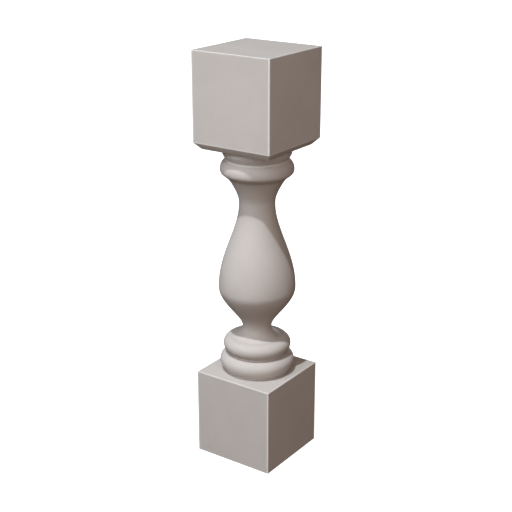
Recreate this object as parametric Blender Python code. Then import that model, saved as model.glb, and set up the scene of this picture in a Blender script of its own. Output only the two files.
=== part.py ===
# A stout square-ended stair spindle, or baluster, of cast stone. It is one monolithic casting:
# a square plinth, a turned vase-shaped shaft with its mouldings, and a square cap block.
# Metres, +Z up. The origin is the centre of the underside.

import math

import bmesh
import bpy

# Square ends
BLOCK_WIDTH = 0.150
PLINTH_HEIGHT = 0.1544
CAP_HEIGHT = 0.150
SPLAY_HEIGHT = 0.0111  # sloping band under the cap block
SPLAY_INSET = 0.0103
ARRIS_WIDTH = 0.0010  # softened edges of both blocks

# Two rolls on the plinth, each on a low upright fillet
PLINTH_LEDGE = 0.0105  # left clear between the lower roll and the plinth's faces
LOWER_FILLET_HEIGHT = 0.0045
LOWER_FILLET_SETBACK = 0.0095  # of the fillet behind the widest line of the roll it carries
LOWER_TORUS_HEIGHT = 0.0285
UPPER_FILLET_HEIGHT = 0.0035
UPPER_FILLET_SETBACK = 0.0100
UPPER_TORUS_HEIGHT = 0.0252
UPPER_TORUS_SETBACK = 0.0060  # of the upper roll behind the lower one

# Concave foot, between the upper roll and the narrow foot neck
FOOT_LEDGE = 0.0135  # of the foot's outer end behind the upper roll's widest line
FOOT_HEIGHT = 0.0184
FOOT_NECK_RADIUS = 0.0250

# Vase: the belly swells from the foot neck and draws in to the waist
LOWER_BELLY_HEIGHT = 0.0737
BELLY_RADIUS = 0.0660
UPPER_BELLY_HEIGHT = 0.1475
WAIST_RADIUS = 0.0306
WAIST_HEIGHT = 0.0042

# Necking, astragal and echinus under the cap
NECK_FLARE_HEIGHT = 0.0415
NECK_FLARE_RADIUS = 0.0500  # where the hollow of the neck turns into the astragal
NECK_FLARE_SLOPE = math.radians(48)  # away from the upright, at that place
ASTRAGAL_UNDER_HEIGHT = 0.0152
ASTRAGAL_RADIUS = 0.0618
ASTRAGAL_OVER_HEIGHT = 0.0155
QUIRK_DEPTH = 0.0108  # the crease above the astragal, measured in from its widest line
ECHINUS_HEIGHT = 0.0202
ECHINUS_LEDGE = 0.0070  # left clear between the echinus and the edges of the cap's underside
ECHINUS_SWELL = 0.0040  # of its curve's handles, out from a straight cone

# How full each curve is: handle lengths as shares of that curve's own height or width
FOOT_TOP_FULLNESS = 0.43
FOOT_BOTTOM_FULLNESS = 0.50
BELLY_FULLNESS = {"foot": 0.265, "under": 0.363, "over": 0.390, "waist": 0.304}
NECK_FULLNESS = {"waist": 0.300, "flare": 0.155}
ASTRAGAL_FULLNESS = {"hollow": 0.70, "under": 0.55, "over": 0.55, "crease": 0.45}

# Fineness of the faceted solid
SEGMENTS_ROUND = 48
STEPS_TORUS = 10  # even, so that one ring lies on the widest line
STEPS_FOOT = 4
STEPS_LOWER_BELLY = 8
STEPS_UPPER_BELLY = 9
STEPS_NECK_FLARE = 5
STEPS_ASTRAGAL = 4
STEPS_ECHINUS = 3
ARRIS_SEGMENTS = 2

TENON_LENGTH = 0.012  # how far the core of the shaft runs into each block
MERGE_DISTANCE = 1e-6  # between points of the turned shaft that fall together
SHARP_ANGLE = math.radians(35)
STONE_COLOR = (0.545, 0.497, 0.462, 1.0)
STONE_ROUGHNESS = 0.85


def bezier(start, start_handle, end_handle, end, steps):
    """Points of a cubic curve after its start, as (radius, height) pairs."""
    points = []
    for step in range(1, steps + 1):
        t = step / steps
        weights = ((1 - t) ** 3, 3 * (1 - t) ** 2 * t, 3 * (1 - t) * t * t, t**3)
        corners = (start, start_handle, end_handle, end)
        points.append(
            tuple(
                sum(w * corner[axis] for w, corner in zip(weights, corners))
                for axis in (0, 1)
            )
        )
    return points


def roll(lower_radius, widest_radius, upper_radius, bottom, height):
    """Points of a roll after its lower end: two quarter ellipses that meet at its widest line."""
    middle = bottom + height / 2
    points = []
    for step in range(1, STEPS_TORUS + 1):
        angle = -math.pi / 2 + math.pi * step / STEPS_TORUS
        end_radius = lower_radius if angle < 0 else upper_radius
        reach = widest_radius - end_radius
        points.append(
            (end_radius + reach * math.cos(angle), middle + height / 2 * math.sin(angle))
        )
    return points


def rolls():
    """The lower roll's fillet up from its tenon, both rolls, and the fillet between them."""
    lower_widest = BLOCK_WIDTH / 2 - PLINTH_LEDGE
    upper_widest = lower_widest - UPPER_TORUS_SETBACK
    lower_fillet = lower_widest - LOWER_FILLET_SETBACK
    upper_fillet = upper_widest - UPPER_FILLET_SETBACK
    height = PLINTH_HEIGHT + LOWER_FILLET_HEIGHT
    points = [(lower_fillet, PLINTH_HEIGHT - TENON_LENGTH), (lower_fillet, height)]
    points += roll(lower_fillet, lower_widest, upper_fillet, height, LOWER_TORUS_HEIGHT)
    height += LOWER_TORUS_HEIGHT + UPPER_FILLET_HEIGHT
    points.append((upper_fillet, height))
    foot_outer = upper_widest - FOOT_LEDGE
    points += roll(upper_fillet, upper_widest, foot_outer, height, UPPER_TORUS_HEIGHT)
    return points


def swelling(start, end, lower_share, upper_share, steps):
    """An S-curve that leaves both ends upright, with handles as shares of its height."""
    rise = end[1] - start[1]
    return bezier(
        start,
        (start[0], start[1] + lower_share * rise),
        (end[0], end[1] - upper_share * rise),
        end,
        steps,
    )


def foot(start, end):
    """The concave foot: it leaves the roll level and meets the foot neck upright."""
    inward = start[0] - end[0]
    rise = end[1] - start[1]
    return bezier(
        start,
        (start[0] - FOOT_TOP_FULLNESS * inward, start[1]),
        (end[0], end[1] - FOOT_BOTTOM_FULLNESS * rise),
        end,
        STEPS_FOOT,
    )


def neck_and_astragal(start):
    """The hollow neck, the astragal it turns into, and the crease above the astragal."""
    slope = (math.sin(NECK_FLARE_SLOPE), math.cos(NECK_FLARE_SLOPE))
    turn = (NECK_FLARE_RADIUS, start[1] + NECK_FLARE_HEIGHT)
    widest = (ASTRAGAL_RADIUS, turn[1] + ASTRAGAL_UNDER_HEIGHT)
    crease = (ASTRAGAL_RADIUS - QUIRK_DEPTH, widest[1] + ASTRAGAL_OVER_HEIGHT)
    flare_handle = NECK_FULLNESS["flare"] * NECK_FLARE_HEIGHT
    hollow_handle = ASTRAGAL_FULLNESS["hollow"] * ASTRAGAL_UNDER_HEIGHT
    under_handle = ASTRAGAL_FULLNESS["under"] * ASTRAGAL_UNDER_HEIGHT
    points = bezier(
        start,
        (start[0], start[1] + NECK_FULLNESS["waist"] * NECK_FLARE_HEIGHT),
        (turn[0] - flare_handle * slope[0], turn[1] - flare_handle * slope[1]),
        turn,
        STEPS_NECK_FLARE,
    )
    points += bezier(
        turn,
        (turn[0] + hollow_handle * slope[0], turn[1] + hollow_handle * slope[1]),
        (widest[0], widest[1] - under_handle),
        widest,
        STEPS_ASTRAGAL,
    )
    points += bezier(
        widest,
        (widest[0], widest[1] + ASTRAGAL_FULLNESS["over"] * ASTRAGAL_OVER_HEIGHT),
        (crease[0] + ASTRAGAL_FULLNESS["crease"] * QUIRK_DEPTH, crease[1]),
        crease,
        STEPS_ASTRAGAL,
    )
    return points


def echinus(start):
    """The spreading bell that carries the cap: a cone with a slight swell."""
    top_radius = BLOCK_WIDTH / 2 - SPLAY_INSET - ECHINUS_LEDGE
    end = (top_radius, start[1] + ECHINUS_HEIGHT)
    middle = ((start[0] + end[0]) / 2 + ECHINUS_SWELL, (start[1] + end[1]) / 2)
    return bezier(start, middle, middle, end, STEPS_ECHINUS)


def shaft_outline():
    """(radius, height) pairs of the turned shaft, from its lower tenon to its upper one."""
    points = rolls()
    foot_neck = (FOOT_NECK_RADIUS, points[-1][1] + FOOT_HEIGHT)
    points += foot(points[-1], foot_neck)
    belly = (BELLY_RADIUS, foot_neck[1] + LOWER_BELLY_HEIGHT)
    points += swelling(
        foot_neck, belly, BELLY_FULLNESS["foot"], BELLY_FULLNESS["under"], STEPS_LOWER_BELLY
    )
    waist = (WAIST_RADIUS, belly[1] + UPPER_BELLY_HEIGHT)
    points += swelling(
        belly, waist, BELLY_FULLNESS["over"], BELLY_FULLNESS["waist"], STEPS_UPPER_BELLY
    )
    points.append((WAIST_RADIUS, waist[1] + WAIST_HEIGHT))
    points += neck_and_astragal(points[-1])
    points += echinus(points[-1])
    points.append((points[-1][0], points[-1][1] + TENON_LENGTH))
    return points


def stone_material():
    material = bpy.data.materials.new("cast_stone")
    material.use_nodes = True
    shader = material.node_tree.nodes["Principled BSDF"]
    shader.inputs["Base Color"].default_value = STONE_COLOR
    shader.inputs["Roughness"].default_value = STONE_ROUGHNESS
    shader.inputs["Metallic"].default_value = 0.0
    return material


def new_object(name, mesh_in_progress):
    """Closes the bmesh with its faces pointing out and links it as an object of that name."""
    bmesh.ops.recalc_face_normals(mesh_in_progress, faces=mesh_in_progress.faces)
    mesh = bpy.data.meshes.new(name)
    mesh_in_progress.to_mesh(mesh)
    mesh_in_progress.free()
    piece = bpy.data.objects.new(name, mesh)
    bpy.context.scene.collection.objects.link(piece)
    return piece


def turned_shaft(name, outline):
    """The outline turned about Z, with a flat face at each end."""
    bm = bmesh.new()
    corners = [bm.verts.new((radius, 0, height)) for radius, height in outline]
    edges = [bm.edges.new(pair) for pair in zip(corners, corners[1:])]
    bmesh.ops.spin(
        bm,
        geom=corners + edges,
        cent=(0, 0, 0),
        axis=(0, 0, 1),
        angle=math.tau,
        steps=SEGMENTS_ROUND,
        use_merge=True,
    )
    bmesh.ops.remove_doubles(bm, verts=bm.verts, dist=MERGE_DISTANCE)
    bmesh.ops.holes_fill(bm, edges=[e for e in bm.edges if e.is_boundary])
    return new_object(name, bm)


def square_block(name, levels):
    """A square block through (half width, height) levels, with softened edges."""
    bm = bmesh.new()
    sides = ((-1, -1), (1, -1), (1, 1), (-1, 1))
    rings = [[bm.verts.new((x * half, y * half, z)) for x, y in sides] for half, z in levels]
    for lower, upper in zip(rings, rings[1:]):
        for side in range(4):
            following = (side + 1) % 4
            bm.faces.new((lower[side], lower[following], upper[following], upper[side]))
    bm.faces.new(rings[0])
    bm.faces.new(rings[-1])
    block = new_object(name, bm)
    block.hide_render = True
    block.display_type = "WIRE"
    arris = block.modifiers.new("arris", "BEVEL")
    arris.width = ARRIS_WIDTH
    arris.segments = ARRIS_SEGMENTS
    arris.limit_method = "ANGLE"
    arris.angle_limit = SHARP_ANGLE
    return block


def join(piece, other):
    """Makes the other object one body with the piece."""
    union = piece.modifiers.new("with_" + other.name, "BOOLEAN")
    union.operation = "UNION"
    union.solver = "EXACT"
    union.object = other


def build():
    for old in list(bpy.data.objects):
        bpy.data.objects.remove(old)
    outline = shaft_outline()
    spindle = turned_shaft("stair_spindle", outline)
    half = BLOCK_WIDTH / 2
    plinth = square_block("plinth_block", [(half, 0.0), (half, PLINTH_HEIGHT)])
    underside = outline[-1][1] - TENON_LENGTH
    cap_base = underside + SPLAY_HEIGHT
    cap = square_block(
        "cap_block",
        [(half - SPLAY_INSET, underside), (half, cap_base), (half, cap_base + CAP_HEIGHT)],
    )
    join(spindle, plinth)
    join(spindle, cap)
    spindle.data.materials.append(stone_material())
    spindle.data.shade_smooth()
    spindle.data.set_sharp_from_angle(angle=SHARP_ANGLE)


build()
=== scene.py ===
import math

import bpy
import numpy as np
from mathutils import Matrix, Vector


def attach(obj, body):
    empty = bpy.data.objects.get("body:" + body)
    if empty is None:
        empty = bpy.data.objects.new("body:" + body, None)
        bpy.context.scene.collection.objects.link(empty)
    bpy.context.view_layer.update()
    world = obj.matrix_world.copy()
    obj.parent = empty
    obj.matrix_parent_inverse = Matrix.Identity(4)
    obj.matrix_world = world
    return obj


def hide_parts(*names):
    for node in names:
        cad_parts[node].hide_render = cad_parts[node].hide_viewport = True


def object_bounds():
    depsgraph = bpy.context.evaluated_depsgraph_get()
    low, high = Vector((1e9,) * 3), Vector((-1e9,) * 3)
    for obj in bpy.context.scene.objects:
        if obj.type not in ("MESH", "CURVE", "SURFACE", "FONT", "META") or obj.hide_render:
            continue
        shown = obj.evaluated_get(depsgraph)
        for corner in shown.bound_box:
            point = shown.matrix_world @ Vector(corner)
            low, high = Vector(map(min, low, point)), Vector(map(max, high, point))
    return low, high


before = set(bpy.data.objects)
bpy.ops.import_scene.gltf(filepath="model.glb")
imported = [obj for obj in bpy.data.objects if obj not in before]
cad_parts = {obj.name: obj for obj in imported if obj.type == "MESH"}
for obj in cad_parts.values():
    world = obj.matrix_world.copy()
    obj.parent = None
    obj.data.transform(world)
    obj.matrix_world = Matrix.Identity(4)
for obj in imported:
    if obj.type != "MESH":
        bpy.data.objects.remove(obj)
cadLow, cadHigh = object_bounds()
print("frame loaded:", sorted(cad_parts))


def hexToLinear(code):
    # sRGB hex to linear: small values are divided by 12.92, the rest raised to the power 2.4
    values = [int(code[i:i + 2], 16) / 255 for i in (1, 3, 5)]
    return [v / 12.92 if v <= 0.04045 else ((v + 0.055) / 1.055) ** 2.4 for v in values]


# The casting's shape

spindle = {
    # metres; the width and the whole height come from the frame
    "plinthHeight": 0.1544,
    "arris": 0.0010,                  # radius of the softened block edges
    "splayArris": 0.0005,             # and of the sloping band's lower edge
    "splayHeight": 0.0111,            # sloping band under the cap block
    "splayInset": 0.0103,
    "plinthLedge": 0.0105,            # clear between the lower roll and the plinth's faces
    "lowerFillet": (0.0045, 0.0095),  # height, and how far the roll above overhangs it
    "lowerTorusHeight": 0.0285,
    "upperFillet": (0.0035, 0.0100),
    "upperTorusHeight": 0.0252,
    "torusSetback": 0.0060,           # of the upper roll behind the lower one
    "footLedge": 0.0135,              # of the foot's outer end behind the upper roll
    "footHeight": 0.0184,
    "footNeckRadius": 0.0250,
    "lowerBellyHeight": 0.0737,
    "bellyRadius": 0.0660,
    "upperBellyHeight": 0.1475,
    "waistRadius": 0.0306,
    "waistHeight": 0.0042,
    "flareHeight": 0.0415,            # the hollow neck
    "flareRadius": 0.0500,
    "flareSlope": 48,                 # degrees from the upright, where it meets the astragal
    "astragalUnder": 0.0152,
    "astragalRadius": 0.0618,
    "astragalOver": 0.0155,
    "quirkDepth": 0.0108,             # the crease above the astragal
    "echinusHeight": 0.0202,
    "echinusLedge": 0.0070,
    "echinusSwell": 0.0040,
    # handle lengths, as shares of each curve's own height or width
    "footFullness": (0.43, 0.50),
    "lowerBellyFullness": (0.265, 0.363),
    "upperBellyFullness": (0.390, 0.304),
    "flareFullness": (0.300, 0.155),
    "astragalFullness": (0.70, 0.55, 0.55, 0.45),   # leaving the neck, under, over, into the quirk
    # fineness
    "anglesPerQuarter": 60,
    "cornerCrowding": 0.04,           # how close the angles stand at the blocks' corners
    "torusSteps": 36,
    "shortSteps": 14,                 # of the curves round the astragal and the echinus
    "curveSteps": 28,
    "longSteps": 56,                  # of the belly's two curves
    "arrisSteps": 8,
    "edgeMargins": (0.5, 1.0, 1.6, 2.4, 4.0),   # rings beside each arris, in arris radii
    "sharpAngle": 30,                 # degrees; a crease that turns more than this isn't smoothed
    # half widths of the painted highlight lines, and how much of the highlight tone they take
    "paintedHighlightArris": (0.0024, 0.52),
    "paintedHighlightUpright": (0.0024, 1.00),
    "paintedHighlightTorusCrease": (0.0022, 0.60),
    "paintedHighlightQuirk": (0.0038, 1.00),
}


def cubic(corners, steps):
    # cubic curve: its four corners weighted by (1-t)^3, 3(1-t)^2 t, 3(1-t)t^2 and t^3
    t = np.linspace(0, 1, steps + 1)[1:, None]
    weights = np.hstack([(1 - t) ** 3, 3 * (1 - t) ** 2 * t, 3 * (1 - t) * t ** 2, t ** 3])
    return weights @ np.array(corners)


def roll(foot, widest, top, bottom, height, steps):
    # two quarter ellipses that meet at the widest line: the end's radius plus the rest of the
    # way out times cos(a) across, and half the height times 1 + sin(a) up
    a = np.linspace(-math.pi / 2, math.pi / 2, steps + 1)
    ends = np.where(a < 0, foot, top)
    return np.column_stack([ends + (widest - ends) * np.cos(a), bottom + height / 2 * (1 + np.sin(a))])


def swelling(start, end, shares, steps):
    # S-curve that leaves both ends upright, with handles as shares of its height
    rise = end[1] - start[1]
    handles = (start[0], start[1] + shares[0] * rise), (end[0], end[1] - shares[1] * rise)
    return cubic((start, *handles, end), steps)


def turnedProfile(p, width):
    # (radius, height) rows from the plinth's top to the cap's underside, then the points of its
    # two creases: each moulding is a roll or a cubic curve from where the last one ends
    lowerWidest = width / 2 - p["plinthLedge"]
    upperWidest = lowerWidest - p["torusSetback"]
    lowerFillet = lowerWidest - p["lowerFillet"][1]
    upperFillet = upperWidest - p["upperFillet"][1]
    footOuter = upperWidest - p["footLedge"]
    z = p["plinthHeight"]
    rows = [[(lowerFillet, z)]]
    z += p["lowerFillet"][0]
    rows.append(roll(lowerFillet, lowerWidest, upperFillet, z, p["lowerTorusHeight"], p["torusSteps"]))
    z += p["lowerTorusHeight"]
    torusCrease = (upperFillet, z)
    z += p["upperFillet"][0]
    rows.append(roll(upperFillet, upperWidest, footOuter, z, p["upperTorusHeight"], p["torusSteps"]))
    z += p["upperTorusHeight"]

    neck = (p["footNeckRadius"], z + p["footHeight"])
    level, upright = p["footFullness"]
    rows.append(cubic(((footOuter, z), (footOuter - level * (footOuter - neck[0]), z),
                       (neck[0], neck[1] - upright * p["footHeight"]), neck), p["curveSteps"]))
    belly = (p["bellyRadius"], neck[1] + p["lowerBellyHeight"])
    rows.append(swelling(neck, belly, p["lowerBellyFullness"], p["longSteps"]))
    waist = (p["waistRadius"], belly[1] + p["upperBellyHeight"])
    rows.append(swelling(belly, waist, p["upperBellyFullness"], p["longSteps"]))
    waistTop = (waist[0], waist[1] + p["waistHeight"])
    rows.append([waistTop])

    slope = math.radians(p["flareSlope"])
    out = np.array([math.sin(slope), math.cos(slope)])
    turn = np.array([p["flareRadius"], waistTop[1] + p["flareHeight"]])
    widest = np.array([p["astragalRadius"], turn[1] + p["astragalUnder"]])
    crease = np.array([widest[0] - p["quirkDepth"], widest[1] + p["astragalOver"]])
    low, high = p["flareFullness"]
    rows.append(cubic((waistTop, (waistTop[0], waistTop[1] + low * p["flareHeight"]),
                       turn - out * high * p["flareHeight"], turn), p["curveSteps"]))
    leaving, under, over, inner = p["astragalFullness"]
    rows.append(cubic((turn, turn + out * leaving * p["astragalUnder"],
                       widest - (0, under * p["astragalUnder"]), widest), p["shortSteps"]))
    rows.append(cubic((widest, widest + (0, over * p["astragalOver"]),
                       crease + (inner * p["quirkDepth"], 0), crease), p["shortSteps"]))

    top = np.array([width / 2 - p["splayInset"] - p["echinusLedge"], crease[1] + p["echinusHeight"]])
    swell = (crease + top) / 2 + (p["echinusSwell"], 0)
    rows.append(cubic((crease, swell, swell, top), p["shortSteps"]))
    return np.vstack(rows), torusCrease, crease


def softCorner(corner, before, after, radius, steps):
    # rounds a profile's corner with an arc that touches both its sides: the arc's points are
    # its middle plus its two end radii weighted by sin((1-t) w) and sin(t w), over sin(w)
    corner = np.array(corner)
    sides = np.array([before, after]) - corner
    sides /= np.linalg.norm(sides, axis=1)[:, None]
    half = math.acos(sides[0] @ sides[1]) / 2
    bisector = (sides[0] + sides[1]) / np.linalg.norm(sides[0] + sides[1])
    middle = corner + bisector * radius / math.sin(half)
    ends = corner + sides * radius / math.tan(half) - middle
    w = math.pi - 2 * half
    t = np.linspace(0, 1, steps + 1)[:, None]
    return middle + (np.sin((1 - t) * w) * ends[0] + np.sin(t * w) * ends[1]) / math.sin(w)


def fromNearestSide(angle):
    # the angle from the nearest side's middle: 0 there and 45 degrees at a corner
    return np.abs((angle + math.pi / 4) % (math.pi / 2) - math.pi / 4)


def distanceOut(angle, half, cornerRadius):
    # how far a rounded square's outline is from its centre: half / cos(f) on its flat sides, and
    # k (cos f + sin f) + sqrt(r^2 - k^2 (cos f - sin f)^2) on its corners, where f is the angle
    # from the nearest side's middle and k is half - r. With r equal to half it is a circle.
    f = fromNearestSide(angle)
    k = half - cornerRadius
    root = cornerRadius ** 2 - (k * (np.cos(f) - np.sin(f))) ** 2
    arc = k * (np.cos(f) + np.sin(f)) + np.sqrt(np.maximum(root, 0))
    return np.where(half * np.tan(f) <= k, half / np.cos(f), arc)


def crowdedAngles(count, crowding):
    # angles round the axis that stand closer at the four corners: in each quarter the angle
    # from its diagonal is 45 degrees times c s + (1 - c) s |s|, for s from -1 to 1
    s = np.arange(count) / count * 2 - 1
    quarter = math.pi / 4 * (crowding * s + (1 - crowding) * s * np.abs(s))
    return np.concatenate([quarter + math.pi / 4 + side * math.pi / 2 for side in range(4)])


def paintedHighlightLine(distance, halfWidth):
    # a painted highlight line: 1 on the line, falling to 0 at its half width as (1 - x^2)^2
    return np.clip(1 - (distance / halfWidth) ** 2, 0, 1) ** 2


def castingRings(p, low, high):
    # rows of half width, height, corner radius, and 1 where the corners carry painted highlight lines or
    # 0, in order up the casting; then each level painted highlight line's point, half width and share
    half = (high.x - low.x) / 2
    arris = p["arris"]
    shaft, torusCrease, quirk = turnedProfile(p, 2 * half)
    underside = shaft[-1, 1]
    capBase = underside + p["splayHeight"]
    splay = half - p["splayInset"]
    margins = arris * np.array(p["edgeMargins"])[:, None]
    inward = np.array([[-1.0, 0.0]])
    upward = np.array([[0.0, 1.0]])

    def edge(corner, before, after, radius=arris):
        return softCorner(corner, before, after, radius, p["arrisSteps"])

    base = edge((half, low.z), (0, low.z), (half, p["plinthHeight"]))
    ledge = edge((half, p["plinthHeight"]), (half, low.z), (0, p["plinthHeight"]))
    foot = edge((splay, underside), (0, underside), (half, capBase), p["splayArris"])
    brow = edge((half, capBase), (splay, underside), (half, high.z))
    top = edge((half, high.z), (half, capBase), (0, high.z))

    def blockRows(faceHalf, upright, *parts):
        # the corner radius shrinks with the ring, from the arris radius to a sharp corner
        points = np.vstack(parts)
        corner = np.clip(points[:, 0] - (faceHalf - arris), 0, arris)
        return np.column_stack([points, corner, np.full(len(points), upright)])

    rings = np.vstack([
        blockRows(half, 0, base[0] + inward * margins[::-1]),
        blockRows(half, 1, base, base[-1] + upward * margins, ledge[0] - upward * margins[::-1], ledge),
        blockRows(half, 0, ledge[-1] + inward * margins),
        np.column_stack([shaft, shaft[:, 0], np.zeros(len(shaft))]),
        blockRows(splay, 1, foot),
        blockRows(splay, 1, brow),
        blockRows(half, 1, brow[-1] + upward * margins, top[0] - upward * margins[::-1], top),
        blockRows(half, 0, top[-1] + inward * margins),
    ])
    middle = p["arrisSteps"] // 2
    highlightLines = [(arc[middle], *p["paintedHighlightArris"]) for arc in (base, ledge, brow, top)]
    highlightLines += [(torusCrease, *p["paintedHighlightTorusCrease"]), (quirk, *p["paintedHighlightQuirk"])]
    return rings, highlightLines


def castSpindle(name, p, low, high):
    # the whole casting as one grid of rings by angles, closed by a point at each end: a point is
    # its ring's outline distance times (cos a, sin a), at its ring's height
    rings, highlightLines = castingRings(p, low, high)
    angles = crowdedAngles(p["anglesPerQuarter"], p["cornerCrowding"])
    half, z, corner, upright = (column[:, None] for column in rings.T)
    out = distanceOut(angles[None, :], half, corner)
    grid = np.stack([out * np.cos(angles), out * np.sin(angles), np.broadcast_to(z, out.shape)], axis=-1)

    # painted highlight: along the creases and level arrises by distance in the profile, and along the
    # upright arrises by distance from the corner's diagonal
    along = [share * paintedHighlightLine(np.linalg.norm(rings[:, :2] - at, axis=1), width)
             for at, width, share in highlightLines]
    fromCorner = out * np.sin(math.pi / 4 - fromNearestSide(angles))
    width, share = p["paintedHighlightUpright"]
    paintedHighlight = np.maximum(np.max(along, axis=0)[:, None], upright * share * paintedHighlightLine(fromCorner, width))

    rows, around = out.shape
    ends = [(0, 0, low.z), (0, 0, high.z)]
    points = np.vstack([grid.reshape(-1, 3), ends])
    index = np.arange(rows * around).reshape(rows, around)
    following = np.roll(index, -1, axis=1)
    quads = np.stack([index[:-1], following[:-1], following[1:], index[1:]], axis=-1).reshape(-1, 4)
    bottom = np.stack([np.full(around, rows * around), following[0], index[0]], axis=-1)
    lid = np.stack([np.full(around, rows * around + 1), index[-1], following[-1]], axis=-1)
    piece = meshPiece(name, points, [quads, bottom, lid])
    piece.data.set_sharp_from_angle(angle=math.radians(p["sharpAngle"]))
    # the painted highlight lines, stored for the stone's material to read
    attribute = piece.data.attributes.new("paintedHighlightLines", "FLOAT", "POINT")
    attribute.data.foreach_set("value", np.append(paintedHighlight.ravel(), [0, 0]).astype(np.float32))
    return piece


def meshPiece(name, points, groups):
    # a smooth-shaded mesh object from an array of points and arrays of faces
    mesh = bpy.data.meshes.new(name)
    sizes = np.concatenate([np.full(len(faces), faces.shape[1]) for faces in groups])
    corners = np.concatenate([faces.ravel() for faces in groups])
    mesh.vertices.add(len(points))
    mesh.loops.add(len(corners))
    mesh.polygons.add(len(sizes))
    mesh.vertices.foreach_set("co", points.astype(np.float32).ravel())
    mesh.loops.foreach_set("vertex_index", corners.astype(np.int32))
    mesh.polygons.foreach_set("loop_start", (np.cumsum(sizes) - sizes).astype(np.int32))
    mesh.update(calc_edges=True)
    mesh.validate()
    mesh.shade_smooth()
    piece = bpy.data.objects.new(name, mesh)
    bpy.context.scene.collection.objects.link(piece)
    return piece


# The stone

stone = {
    "body": "#C3BBB5",
    "darker": "#BFB7B1",              # the clouding's other tone
    "paintedHighlight": "#E9E5E1",                # painted highlight along the arrises and in the creases
    "roughness": (0.80, 0.92),        # in the grain's lows and on its highs
    "specular": 0.3,                  # the open sandy face hardly shines
    "cloud": 60,                      # mm across a patch
    "cloudDetail": 4,
    "cloudRoughness": 0.55,
    "cloudBand": (0.35, 0.65),        # noise values between which one tone gives way to the other
    "grain": 2.2,                     # mm; the sand is under 1 mm, drawn coarser so that it shows
    "grainDetail": 2,
    "grainBand": (0.3, 0.7),
    "grainTone": (0.98, 1.02),        # from its lows to its highs
    "grainDepth": 0.05,               # mm
    "pinholeSpacing": 14,             # mm between cells that may hold an air hole
    "pinholeShare": 0.15,             # of cells that do
    "pinholeSize": 1.2,               # mm across the largest
    "pinholeDepth": 0.35,             # mm
    "pinholePaintedShade": 0.55,             # painted shade in a hole, as a share of the stone's tone
    "highlightBand": (0.3, 0.6),           # noise values over which the painted highlight lines come to full strength
    "highlightLeast": 0.85,                # and their strength below them
}


def addNode(tree, kind, settings=None, links=None):
    # adds a node, sets its properties and its unlinked sockets, and links its inputs
    node = tree.nodes.new(kind)
    for key, value in (settings or {}).items():
        if isinstance(key, str) and hasattr(node, key):
            setattr(node, key, value)
        else:
            node.inputs[key].default_value = value
    for key, source in (links or {}).items():
        tree.links.new(source, node.inputs[key])
    return node


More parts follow.
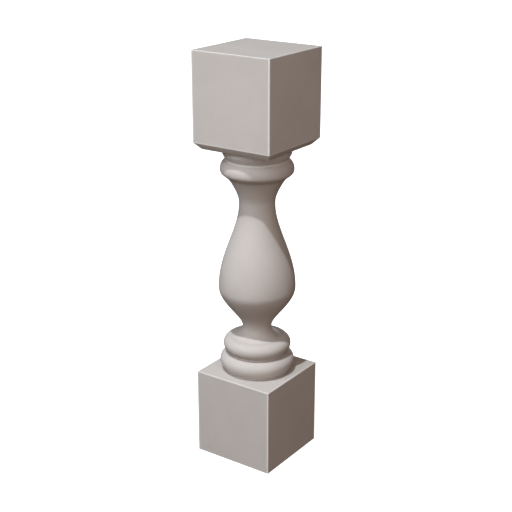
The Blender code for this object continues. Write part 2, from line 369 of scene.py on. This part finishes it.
def castStone(p):
    # Cast stone, a damp mix of pale sand and cement pressed in a smooth mould: a matte, finely
    # sandy face with faint clouding and a few air holes, whose floors are darkened with painted shade.
    # Painted highlights run as pale lines along the arrises and in the creases.
    material = bpy.data.materials.new("castStoneFromSmoothMould")
    material.use_nodes = True
    tree = material.node_tree
    shader = tree.nodes["Principled BSDF"]
    shader.inputs["Specular IOR Level"].default_value = p["specular"]
    body, darker, paintedHighlight = ((*hexToLinear(p[key]), 1) for key in ("body", "darker", "paintedHighlight"))
    factor, first, second, mixed = 0, 6, 7, 2   # a colour mix's sockets
    position = addNode(tree, "ShaderNodeTexCoord").outputs["Object"]

    # clouding, in two near tones
    cloud = addNode(tree, "ShaderNodeTexNoise",
                    {"Scale": 1000 / p["cloud"], "Detail": p["cloudDetail"],
                     "Roughness": p["cloudRoughness"]},
                    {"Vector": position}).outputs["Fac"]
    low, high = p["cloudBand"]
    clouding = addNode(tree, "ShaderNodeMapRange", {"From Min": low, "From Max": high},
                       {"Value": cloud}).outputs["Result"]
    ground = addNode(tree, "ShaderNodeMix", {"data_type": "RGBA", first: body, second: darker},
                     {factor: clouding}).outputs[mixed]

    # sandy grain, in tone and roughness
    grain = addNode(tree, "ShaderNodeTexNoise", {"Scale": 1000 / p["grain"], "Detail": p["grainDetail"]},
                    {"Vector": position}).outputs["Fac"]
    low, high = p["grainBand"]
    dark, light = p["grainTone"]
    speckle = addNode(tree, "ShaderNodeMapRange",
                      {"From Min": low, "From Max": high, "To Min": dark, "To Max": light},
                      {"Value": grain}).outputs["Result"]
    sandy = addNode(tree, "ShaderNodeVectorMath", {"operation": "SCALE"},
                    {"Vector": ground, "Scale": speckle}).outputs["Vector"]
    smoothest, roughest = p["roughness"]
    matte = addNode(tree, "ShaderNodeMapRange",
                    {"From Min": low, "From Max": high, "To Min": smoothest, "To Max": roughest},
                    {"Value": grain}).outputs["Result"]

    # air holes: a few cells hold one, each of its own size up to the largest radius, and the rim
    # slopes over half that radius; painted shade darkens each hole's colour
    cells = addNode(tree, "ShaderNodeTexVoronoi", {"Scale": 1000 / p["pinholeSpacing"]},
                    {"Vector": position})
    chance = addNode(tree, "ShaderNodeSeparateColor",
                     links={"Color": cells.outputs["Color"]}).outputs["Red"]
    largest = p["pinholeSize"] / 2 / p["pinholeSpacing"]
    size = addNode(tree, "ShaderNodeMapRange", {"From Min": 1 - p["pinholeShare"], "To Max": largest},
                   {"Value": chance}).outputs["Result"]
    inside = addNode(tree, "ShaderNodeMath", {"operation": "SUBTRACT"},
                     {0: size, 1: cells.outputs["Distance"]}).outputs["Value"]
    hole = addNode(tree, "ShaderNodeMapRange", {"From Max": largest / 2},
                   {"Value": inside}).outputs["Result"]
    holePaintedShade = addNode(tree, "ShaderNodeMapRange", {"To Min": 1, "To Max": p["pinholePaintedShade"]},
                    {"Value": hole}).outputs["Result"]
    paintedHoleShadeTone = addNode(tree, "ShaderNodeVectorMath", {"operation": "SCALE"},
                     {"Vector": sandy, "Scale": holePaintedShade}).outputs["Vector"]

    # painted highlight lines along the arrises and creases, a little broken by the clouding
    highlightLines = addNode(tree, "ShaderNodeAttribute", {"attribute_name": "paintedHighlightLines"}).outputs["Fac"]
    low, high = p["highlightBand"]
    broken = addNode(tree, "ShaderNodeMapRange",
                     {"From Min": low, "From Max": high, "To Min": p["highlightLeast"]},
                     {"Value": cloud}).outputs["Result"]
    paintedHighlightShare = addNode(tree, "ShaderNodeMath", {"operation": "MULTIPLY"},
                     {0: highlightLines, 1: broken}).outputs["Value"]
    tone = addNode(tree, "ShaderNodeMix", {"data_type": "RGBA", second: paintedHighlight},
                   {factor: paintedHighlightShare, first: paintedHoleShadeTone}).outputs[mixed]

    # relief
    sand = addNode(tree, "ShaderNodeBump", {"Strength": 1, "Distance": p["grainDepth"] / 1000},
                   {"Height": grain}).outputs["Normal"]
    pits = addNode(tree, "ShaderNodeBump",
                   {"invert": True, "Strength": 1, "Distance": p["pinholeDepth"] / 1000},
                   {"Height": hole, "Normal": sand}).outputs["Normal"]
    tree.links.new(tone, shader.inputs["Base Color"])
    tree.links.new(matte, shader.inputs["Roughness"])
    tree.links.new(pits, shader.inputs["Normal"])
    return material


casting = castSpindle("castStoneSpindle", spindle, cadLow, cadHigh)
casting.data.materials.append(castStone(stone))
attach(casting, "root")
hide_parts("stair_spindle")
print("casting:", len(casting.data.vertices), "points,", len(casting.data.polygons), "faces")


# The floor

floor = {
    "radius": 30.0,
    "steps": 96,                      # round its rim
    "color": "#F2F2F2",
    "roughness": 0.9,
    "glow": 0.92,                     # keeps it pale in the casting's shadow
}


def paleFloor(p):
    # a disc: its rim is the radius times (cos a, sin a), and each step of it is joined to the centre
    steps = p["steps"]
    a = np.linspace(0, 2 * math.pi, steps, endpoint=False)
    rim = np.column_stack([np.cos(a), np.sin(a), 0 * a]) * p["radius"]
    step = np.arange(steps)
    fan = np.column_stack([np.full(steps, steps), step, np.roll(step, -1)])
    disc = meshPiece("paleFloor", np.vstack([rim, [(0, 0, 0)]]), [fan])
    material = bpy.data.materials.new("mattePaintedFloor")   # flat white, with a faint glow of its own
    material.use_nodes = True
    shader = material.node_tree.nodes["Principled BSDF"]
    shader.inputs["Base Color"].default_value = (*hexToLinear(p["color"]), 1)
    shader.inputs["Roughness"].default_value = p["roughness"]
    shader.inputs["Specular IOR Level"].default_value = 0
    shader.inputs["Emission Color"].default_value = (1, 1, 1, 1)
    shader.inputs["Emission Strength"].default_value = p["glow"]
    disc.data.materials.append(material)
    disc.visible_diffuse = False
    disc.visible_glossy = False


def direction(azimuth, elevation):
    # unit vector from the casting back towards a lamp or the camera; one at azimuth 0 looks along +Y
    a, e = math.radians(azimuth), math.radians(elevation)
    return Vector((math.sin(a) * math.cos(e), -math.cos(a) * math.cos(e), math.sin(e)))


def place(name, data, at, towards):
    # adds a lamp or camera that looks the way given
    thing = bpy.data.objects.new(name, data)
    thing.location = at
    thing.rotation_euler = towards.to_track_quat("-Z", "Y").to_euler()
    bpy.context.scene.collection.objects.link(thing)
    return thing


# The lamps

lamps = {
    "sunToward": (-0.383, -0.050, 0.923),
    "sunDistance": 3.0,               # of its marker; a sun shines from no one place
    "sunAngle": 1.2,                  # degrees across; its shadows are a little soft
    "sunStrength": 2.17,
    "sunColor": "#EEF8FF",
    "softboxAim": (0.0, 0.0, 0.5),
    # azimuth, elevation, distance, width, height, watts and colour
    "leftSoftbox": (-113, 35, 2.0, 1.6, 1.6, 26.4, "#E8F4FD"),
    "frontSoftbox": (-46, 21, 2.0, 1.6, 1.6, 18.0, "#FFFBFA"),
    "backSoftbox": (112, -4.0, 6.0, 1.6, 0.16, 175.0, "#F2F7FF"),
    "roomColor": "#FFBE88",
    "roomStrength": 0.082,
    "skyColor": "#FFFFFF",            # what shows beyond the floor
}


def lights(p):
    # a high sun from the left, softboxes on the left, beside the camera and behind, and a dim
    # warm room that shows itself as a pale backdrop
    sun = bpy.data.lights.new("sun", "SUN")
    sun.angle = math.radians(p["sunAngle"])
    sun.energy = p["sunStrength"]
    sun.color = hexToLinear(p["sunColor"])
    toward = Vector(p["sunToward"])
    place("sun", sun, toward * p["sunDistance"], -toward)
    for name in ("leftSoftbox", "frontSoftbox", "backSoftbox"):
        azimuth, elevation, distance, width, height, power, color = p[name]
        box = bpy.data.lights.new(name, "AREA")
        box.shape = "RECTANGLE"
        box.size = width
        box.size_y = height
        box.energy = power
        box.color = hexToLinear(color)
        away = direction(azimuth, elevation)
        lamp = place(name, box, Vector(p["softboxAim"]) + away * distance, -away)
        lamp.visible_camera = False

    room = bpy.data.worlds.new("room")
    room.use_nodes = True
    tree = room.node_tree
    warm = tree.nodes["Background"]
    warm.inputs["Color"].default_value = (*hexToLinear(p["roomColor"]), 1)
    warm.inputs["Strength"].default_value = p["roomStrength"]
    sky = addNode(tree, "ShaderNodeBackground", {"Color": (*hexToLinear(p["skyColor"]), 1)})
    seen = addNode(tree, "ShaderNodeLightPath").outputs["Is Camera Ray"]
    both = addNode(tree, "ShaderNodeMixShader", links={0: seen, 1: warm.outputs[0], 2: sky.outputs[0]})
    tree.links.new(both.outputs[0], tree.nodes["World Output"].inputs["Surface"])
    bpy.context.scene.world = room


# The camera

view = {
    "azimuth": -54.99,                # 0 looks along +Y
    "elevation": 20.04,
    "distance": 1.8338,
    "aim": 0.3618,                    # height
    "aside": -0.0019,                 # to the camera's right
    "angle": 26.653,                  # degrees across the frame
    "sensor": 36,                     # mm
}


def camera(p):
    data = bpy.data.cameras.new("camera")
    data.sensor_width = p["sensor"]
    data.lens = p["sensor"] / 2 / math.tan(math.radians(p["angle"]) / 2)
    back = direction(p["azimuth"], p["elevation"])
    right = Vector((0, 0, 1)).cross(back).normalized()
    at = Vector((0, 0, p["aim"])) + right * p["aside"] + back * p["distance"]
    bpy.context.scene.camera = place("camera", data, at, -back)


bpy.context.scene.view_settings.view_transform = "Standard"
paleFloor(floor)
lights(lamps)
camera(view)
print("studio ready")
